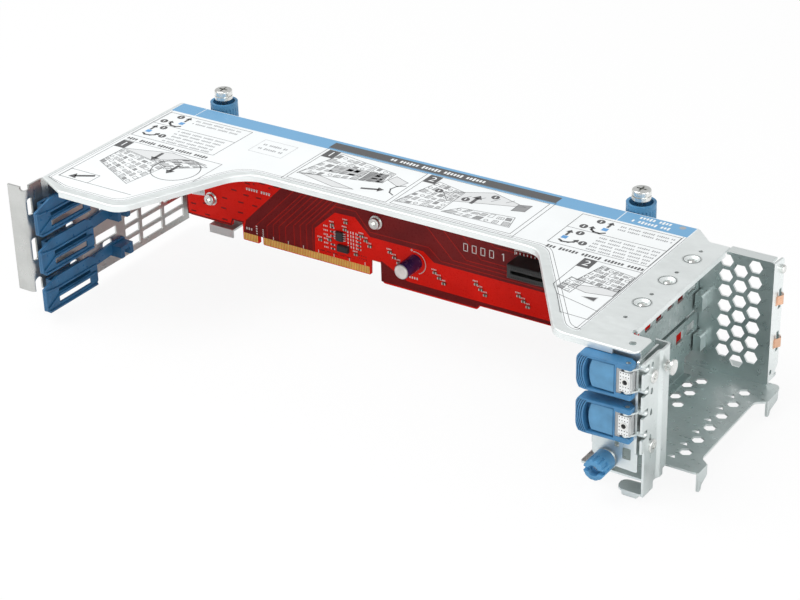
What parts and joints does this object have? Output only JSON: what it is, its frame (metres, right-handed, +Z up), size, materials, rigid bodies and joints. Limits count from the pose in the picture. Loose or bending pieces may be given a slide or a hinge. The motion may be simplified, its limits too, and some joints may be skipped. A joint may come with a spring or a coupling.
{
  "type": "server riser cage",
  "caption": "Server riser cage: folded sheet-metal frame with a red riser board, card guides, hinged card latches and captive thumbscrews.",
  "frame": {"origin": "middle of the base of the bounding box", "axes": "+X along the cage towards the latches, +Y towards the circuit board, +Z up"},
  "size_m": [0.3516, 0.1416, 0.0784],
  "materials": {
    "galvanised_steel": "satin",
    "label_film": "semi-gloss",
    "red_board": "solder mask",
    "gold_plate": "polished",
    "black_plastic": "matte",
    "can_aluminium": "bright",
    "sleeve_plastic": "gloss",
    "nickel_steel": "bright",
    "chip_ceramic": "satin",
    "copper_spring": "bright",
    "blue_plastic": "satin",
    "light_blue_plastic": "satin",
    "navy_plastic": "satin",
    "clear_plastic": "clear",
    "white_plastic": "matte"
  },
  "bodies": {
    "cage": {"back_rail": "galvanised_steel", "board_screws": "nickel_steel", "board_spacers": "nickel_steel", "board_washers": "nickel_steel", "bottom_plate": "galvanised_steel", "capacitor_can": "can_aluminium", "capacitor_sleeve": "sleeve_plastic", "captive_bush_left": "nickel_steel", "captive_bush_right": "nickel_steel", "card_guide_bottom": "navy_plastic", "card_guide_middle": "navy_plastic", "card_guide_top": "navy_plastic", "chip_leads": "nickel_steel", "chip_parts": "chip_ceramic", "column_plate": "galvanised_steel", "column_screws": "nickel_steel", "control_chip": "black_plastic", "cover_studs": "nickel_steel", "edge_contacts": "gold_plate", "emi_springs": "copper_spring", "flange_screw": "nickel_steel", "front_bush": "nickel_steel", "front_plate": "galvanised_steel", "hinge_pin_lower": "nickel_steel", "hinge_pin_upper": "nickel_steel", "instruction_label": "label_film", "latch_rail": "galvanised_steel", "left_wall": "galvanised_steel", "locating_stud": "nickel_steel", "power_diode": "black_plastic", "riser_board": "red_board", "side_wall": "galvanised_steel", "slot_connector_lower": "black_plastic", "slot_connector_upper": "black_plastic", "slot_cover_lower": "galvanised_steel", "slot_cover_upper": "galvanised_steel", "slot_rail": "galvanised_steel", "top_cover": "galvanised_steel"},
    "latch_upper": {"latch_lever_upper": "blue_plastic", "latch_window_upper": "clear_plastic", "latch_plate_upper": "white_plastic", "latch_ring_upper": "nickel_steel"},
    "button_upper": {"latch_button_upper": "light_blue_plastic"},
    "latch_lower": {"latch_lever_lower": "blue_plastic", "latch_window_lower": "clear_plastic", "latch_plate_lower": "white_plastic", "latch_ring_lower": "nickel_steel"},
    "button_lower": {"latch_button_lower": "light_blue_plastic"},
    "screw_left": {"captive_screw_left": "nickel_steel"},
    "knob_left": {"captive_knob_left": "blue_plastic"},
    "screw_right": {"captive_screw_right": "nickel_steel"},
    "knob_right": {"captive_knob_right": "blue_plastic"},
    "front_thumbscrew": {"front_knob": "blue_plastic", "front_screw": "nickel_steel"}
  },
  "joints": [
    {"name": "latch_upper_hinge", "type": "hinge", "parent": "cage", "child": "latch_upper", "pos_m": [0.1536, -0.06455, 0.05845], "axis": [0, 0, 1], "range_deg": [0, 95]},
    {"name": "button_upper_press", "type": "slide", "parent": "latch_upper", "child": "button_upper", "axis": [0, 1, 0], "range_m": [0, 0.001], "stiffness_N_per_m": 500, "springref_m": -0.0005},
    {"name": "latch_lower_hinge", "type": "hinge", "parent": "cage", "child": "latch_lower", "pos_m": [0.1536, -0.06455, 0.03813], "axis": [0, 0, 1], "range_deg": [0, 95]},
    {"name": "button_lower_press", "type": "slide", "parent": "latch_lower", "child": "button_lower", "axis": [0, 1, 0], "range_m": [0, 0.001], "stiffness_N_per_m": 500, "springref_m": -0.0005},
    {"name": "screw_left_turn", "type": "hinge", "parent": "cage", "child": "screw_left", "pos_m": [-0.144, 0.06085, 0.06], "axis": [0, 0, 1], "continuous": true},
    {"name": "knob_left_lift", "type": "slide", "parent": "screw_left", "child": "knob_left", "axis": [0, 0, 1], "range_m": [0, 0.008]},
    {"name": "screw_right_turn", "type": "hinge", "parent": "cage", "child": "screw_right", "pos_m": [0.0937, 0.06085, 0.06], "axis": [0, 0, 1], "continuous": true},
    {"name": "knob_right_lift", "type": "slide", "parent": "screw_right", "child": "knob_right", "axis": [0, 0, 1], "range_m": [0, 0.008]},
    {"name": "front_screw_turn", "type": "hinge", "parent": "cage", "child": "front_thumbscrew", "pos_m": [0.1419, -0.06335, 0.0153], "axis": [0, 1, 0], "continuous": true}
  ]
}
